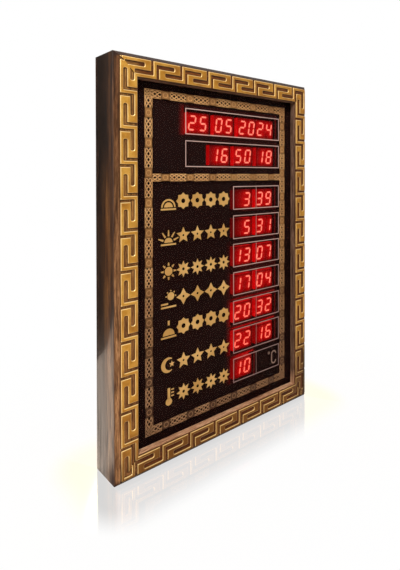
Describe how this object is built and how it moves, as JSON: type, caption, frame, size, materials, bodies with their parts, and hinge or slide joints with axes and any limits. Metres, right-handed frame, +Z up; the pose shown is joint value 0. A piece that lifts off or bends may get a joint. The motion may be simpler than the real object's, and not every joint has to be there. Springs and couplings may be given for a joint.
{
  "type": "azan clock",
  "caption": "Prayer-time clock in a walnut-sided frame with gilded key moulding, smoked panel and red digit displays.",
  "frame": {"origin": "on the surface it stands on, under the middle of the case", "axes": "+Z up, the front with its displays looks towards -Y, +X to the right seen from the front"},
  "size_m": [0.326, 0.054, 0.5],
  "materials": {
    "walnut_rail": "satin varnished walnut grain",
    "gilding": "antiqued gold leaf on the key relief",
    "smoked_panel": "smoked, polished",
    "gold_print": "screen print in gold ink",
    "grey_print": "fine screen-printed outlines",
    "lit_segment": "lit red diffuser",
    "black_carrier": "matt black carrier and board",
    "rear_hardboard": "smooth tempered hardboard",
    "circuit_board": "green solder resist",
    "red_display": "red tinted display body",
    "black_plastic": "moulded, fine texture",
    "grey_plastic": "moulded",
    "zinc_steel": "bright zinc plate",
    "brass_standoff": "turned",
    "heat_sink": "extruded",
    "speaker_paper": "pressed paper cone"
  },
  "bodies": {
    "case": {"top_rail": "walnut_rail", "right_rail": "walnut_rail", "bottom_rail": "walnut_rail", "left_rail": "walnut_rail", "front_panel": "smoked_panel", "display_carrier": "black_carrier", "display_board": "black_carrier", "rear_cover": "rear_hardboard", "control_board": "circuit_board", "day_display": "red_display", "month_display": "red_display", "century_display": "red_display", "year_display": "red_display", "hours_display": "red_display", "minutes_display": "red_display", "seconds_display": "red_display", "row_1_display": "red_display", "row_2_display": "red_display", "row_3_display": "red_display", "row_4_display": "red_display", "row_5_display": "red_display", "row_6_display": "red_display", "temperature_display": "red_display", "microcontroller": "black_plastic", "cell_holder": "black_plastic", "temperature_sensor": "black_plastic", "switch_bank": "black_plastic", "power_inlet": "black_plastic", "speaker_basket": "black_plastic", "ribbon_lead": "grey_plastic", "volume_control": "grey_plastic", "coin_cell": "zinc_steel", "left_hanger_strap": "zinc_steel", "right_hanger_strap": "zinc_steel", "top_cover_screw": "zinc_steel", "bottom_cover_screw": "zinc_steel", "upper_left_cover_screw": "zinc_steel", "lower_left_cover_screw": "zinc_steel", "upper_right_cover_screw": "zinc_steel", "lower_right_cover_screw": "zinc_steel", "left_hanger_screw": "zinc_steel", "right_hanger_screw": "zinc_steel", "upper_left_carrier_screw": "zinc_steel", "upper_right_carrier_screw": "zinc_steel", "lower_left_carrier_screw": "zinc_steel", "lower_right_carrier_screw": "zinc_steel", "upper_left_standoff": "brass_standoff", "upper_right_standoff": "brass_standoff", "lower_left_standoff": "brass_standoff", "lower_right_standoff": "brass_standoff", "voltage_regulator": "heat_sink", "speaker_cone": "speaker_paper"},
    "mode_key": {"mode_button": "grey_plastic"},
    "up_key": {"up_button": "grey_plastic"},
    "down_key": {"down_button": "grey_plastic"},
    "set_key": {"set_button": "grey_plastic"},
    "knob": {"volume_knob": "black_plastic"},
    "left_ring": {"left_hanger_ring": "zinc_steel"},
    "right_ring": {"right_hanger_ring": "zinc_steel"}
  },
  "joints": [
    {"name": "mode_press", "type": "slide", "parent": "case", "child": "mode_key", "axis": [0, -1, 0], "range_m": [0, 0.0012], "stiffness_N_per_m": 600},
    {"name": "up_press", "type": "slide", "parent": "case", "child": "up_key", "axis": [0, -1, 0], "range_m": [0, 0.0012], "stiffness_N_per_m": 600},
    {"name": "down_press", "type": "slide", "parent": "case", "child": "down_key", "axis": [0, -1, 0], "range_m": [0, 0.0012], "stiffness_N_per_m": 600},
    {"name": "set_press", "type": "slide", "parent": "case", "child": "set_key", "axis": [0, -1, 0], "range_m": [0, 0.0012], "stiffness_N_per_m": 600},
    {"name": "volume_turn", "type": "hinge", "parent": "case", "child": "knob", "pos_m": [0.0804, 0.024, 0.11808], "axis": [0, 1, 0], "range_deg": [-150, 150]},
    {"name": "left_ring_swing", "type": "hinge", "parent": "case", "child": "left_ring", "pos_m": [-0.104, 0.0243, 0.4655], "axis": [1, 0, 0], "range_deg": [-5, 180]},
    {"name": "right_ring_swing", "type": "hinge", "parent": "case", "child": "right_ring", "pos_m": [0.104, 0.0243, 0.4655], "axis": [1, 0, 0], "range_deg": [-5, 180]}
  ]
}
